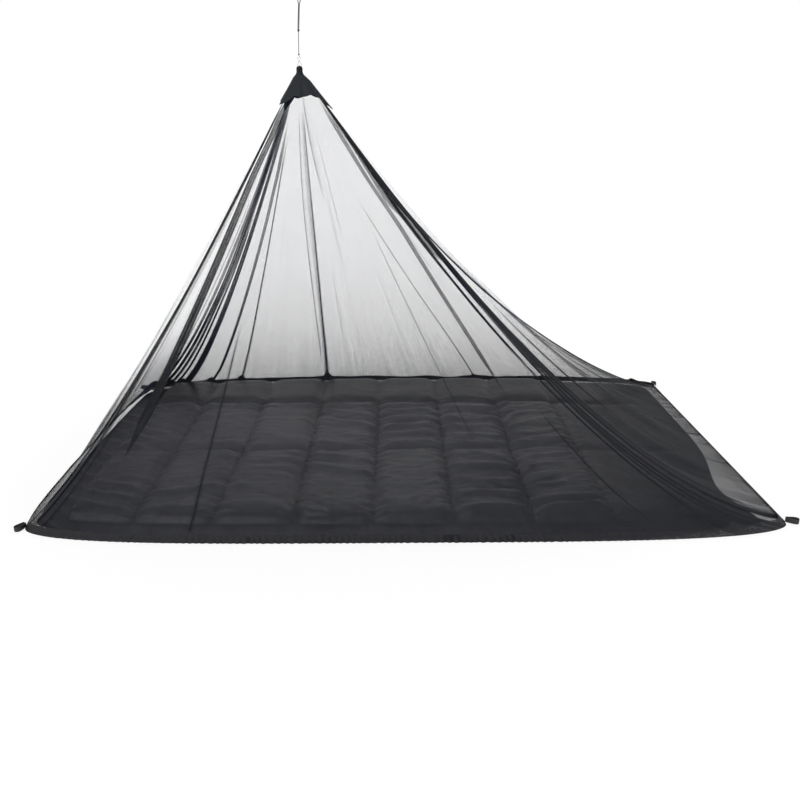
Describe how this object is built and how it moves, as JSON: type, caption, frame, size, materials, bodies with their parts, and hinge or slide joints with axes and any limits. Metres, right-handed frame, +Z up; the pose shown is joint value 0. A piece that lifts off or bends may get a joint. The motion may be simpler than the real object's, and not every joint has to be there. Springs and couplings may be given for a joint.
{
  "type": "mosquito net tent with quilted floor mat",
  "caption": "Pyramid mosquito net hung from one cord, with a small cap, a hem and peg loops on the ground, and a quilted mat inside.",
  "frame": {"origin": "on the ground in the middle of the hem's length and depth, which is the middle of the foot of the box round everything but the cord", "axes": "+X along the long side of the hem, away from the peak's end; +Y across it, away from the bowed front edge of the mat; +Z up along the cord"},
  "size_m": [2.2722, 1.4226, 1.442],
  "materials": {
    "net": "black knitted mosquito netting, sheer",
    "cap_cloth": "dark grey woven polyester",
    "mat_cloth": "dark grey downproof nylon with a soft sheen",
    "tape": "black woven tape",
    "cord_yarn": "dark grey braided cord",
    "steel": "bright plated steel"
  },
  "bodies": {
    "root": {"net_front": "net", "net_right": "net", "net_back": "net", "net_left": "net", "cap": "cap_cloth", "hanging_loop": "tape", "snap_hook": "steel", "swivel_barrel": "steel", "swivel_eye": "steel", "tie_loop": "cord_yarn", "lower_knot": "cord_yarn", "cord": "cord_yarn", "upper_knot": "cord_yarn", "cord_loop": "cord_yarn", "peg_loop_front_left": "tape", "peg_loop_front_right": "tape", "peg_loop_back_right": "tape", "peg_loop_back_left": "tape", "floor_mat": "mat_cloth"}
  },
  "joints": []
}
